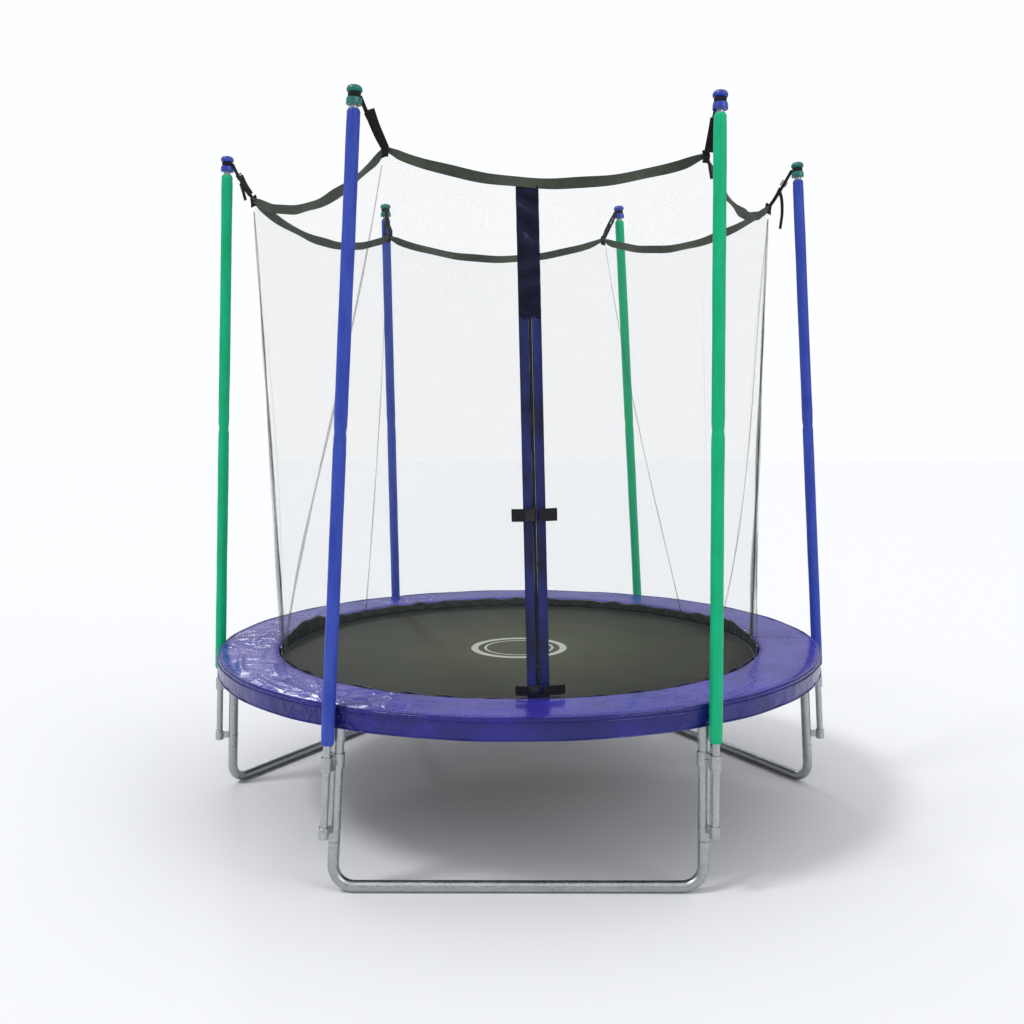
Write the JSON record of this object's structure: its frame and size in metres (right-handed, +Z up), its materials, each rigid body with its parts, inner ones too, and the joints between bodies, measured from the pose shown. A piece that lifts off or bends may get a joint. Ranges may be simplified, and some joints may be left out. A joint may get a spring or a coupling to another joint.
{
  "type": "trampoline",
  "caption": "Round garden trampoline on steel legs with a sprung mat, a ring safety pad and a zipped net hung inside sleeved poles.",
  "frame": {"origin": "on the floor under the centre of the jumping mat", "axes": "+Z up, -Y towards the zipped entrance, +X to the right of someone who faces the entrance from outside"},
  "size_m": [2.5674, 2.44, 2.5807],
  "materials": {
    "galvanised_steel": "satin",
    "blue_sleeve": "satin",
    "green_sleeve": "satin",
    "teal_cap": "satin",
    "blue_cap": "satin",
    "mat_fabric": "matte",
    "pad_vinyl": "gloss",
    "net_mesh": "matte",
    "band_webbing": "matte",
    "navy_strip": "satin",
    "black_strip": "satin",
    "zip_coil": "satin",
    "zip_metal": "satin",
    "buckle_plastic": "satin"
  },
  "bodies": {
    "root": {"top_rail_1": "galvanised_steel", "top_rail_2": "galvanised_steel", "top_rail_3": "galvanised_steel", "top_rail_4": "galvanised_steel", "top_rail_5": "galvanised_steel", "top_rail_6": "galvanised_steel", "leg_upright_1": "galvanised_steel", "leg_upright_2": "galvanised_steel", "leg_upright_3": "galvanised_steel", "leg_upright_4": "galvanised_steel", "leg_upright_5": "galvanised_steel", "leg_upright_6": "galvanised_steel", "leg_base_1": "galvanised_steel", "leg_base_2": "galvanised_steel", "leg_base_3": "galvanised_steel", "pole_1": "galvanised_steel", "pole_2": "galvanised_steel", "pole_3": "galvanised_steel", "pole_4": "galvanised_steel", "pole_5": "galvanised_steel", "pole_6": "galvanised_steel", "pole_clamp_1": "galvanised_steel", "pole_clamp_2": "galvanised_steel", "pole_clamp_3": "galvanised_steel", "pole_clamp_4": "galvanised_steel", "pole_clamp_5": "galvanised_steel", "pole_clamp_6": "galvanised_steel", "pole_sleeve_1": "blue_sleeve", "pole_sleeve_2": "green_sleeve", "pole_sleeve_3": "blue_sleeve", "pole_sleeve_4": "green_sleeve", "pole_sleeve_5": "blue_sleeve", "pole_sleeve_6": "green_sleeve", "pole_cap_1": "teal_cap", "pole_cap_2": "blue_cap", "pole_cap_3": "teal_cap", "pole_cap_4": "blue_cap", "pole_cap_5": "teal_cap", "pole_cap_6": "blue_cap", "springs": "galvanised_steel", "safety_pad": "pad_vinyl", "net_panel_1": "net_mesh", "net_panel_2": "net_mesh", "net_panel_3": "net_mesh", "net_panel_4": "net_mesh", "net_panel_6": "net_mesh", "net_front_left": "net_mesh", "net_front_right": "net_mesh", "net_top_band": "band_webbing", "entry_strip_left": "navy_strip", "entry_strip_right": "navy_strip", "entry_strip_upper": "black_strip", "zip_chain": "zip_coil", "upper_buckle_socket": "buckle_plastic", "lower_buckle_socket": "buckle_plastic"},
    "mat": {"jump_mat": "mat_fabric"},
    "zip_slider": {"zip_slider": "zip_metal"},
    "zip_pull": {"zip_pull": "zip_metal"},
    "upper_plug": {"upper_buckle_plug": "buckle_plastic"},
    "lower_plug": {"lower_buckle_plug": "buckle_plastic"}
  },
  "joints": [
    {"name": "mat_bounce", "type": "slide", "parent": "root", "child": "mat", "axis": [0, 0, -1], "range_m": [0, 0.25], "stiffness_N_per_m": 3000, "springref_m": -0.004, "deforming": ["springs"]},
    {"name": "zip_slide", "type": "slide", "parent": "root", "child": "zip_slider", "axis": [-0.0194, 0.0372, 0.9991], "range_m": [0, 1.12]},
    {"name": "zip_pull_swing", "type": "hinge", "parent": "zip_slider", "child": "zip_pull", "pos_m": [0.05272, -0.97247, 0.73028], "axis": [-0.998, -0.0609, -0.0171], "range_deg": [0, 150]},
    {"name": "upper_buckle_release", "type": "slide", "parent": "root", "child": "upper_plug", "axis": [0.9971, 0.0742, 0.0166], "range_m": [0, 0.03]},
    {"name": "lower_buckle_release", "type": "slide", "parent": "root", "child": "lower_plug", "axis": [0.9981, 0.0589, 0.0172], "range_m": [0, 0.03]}
  ]
}
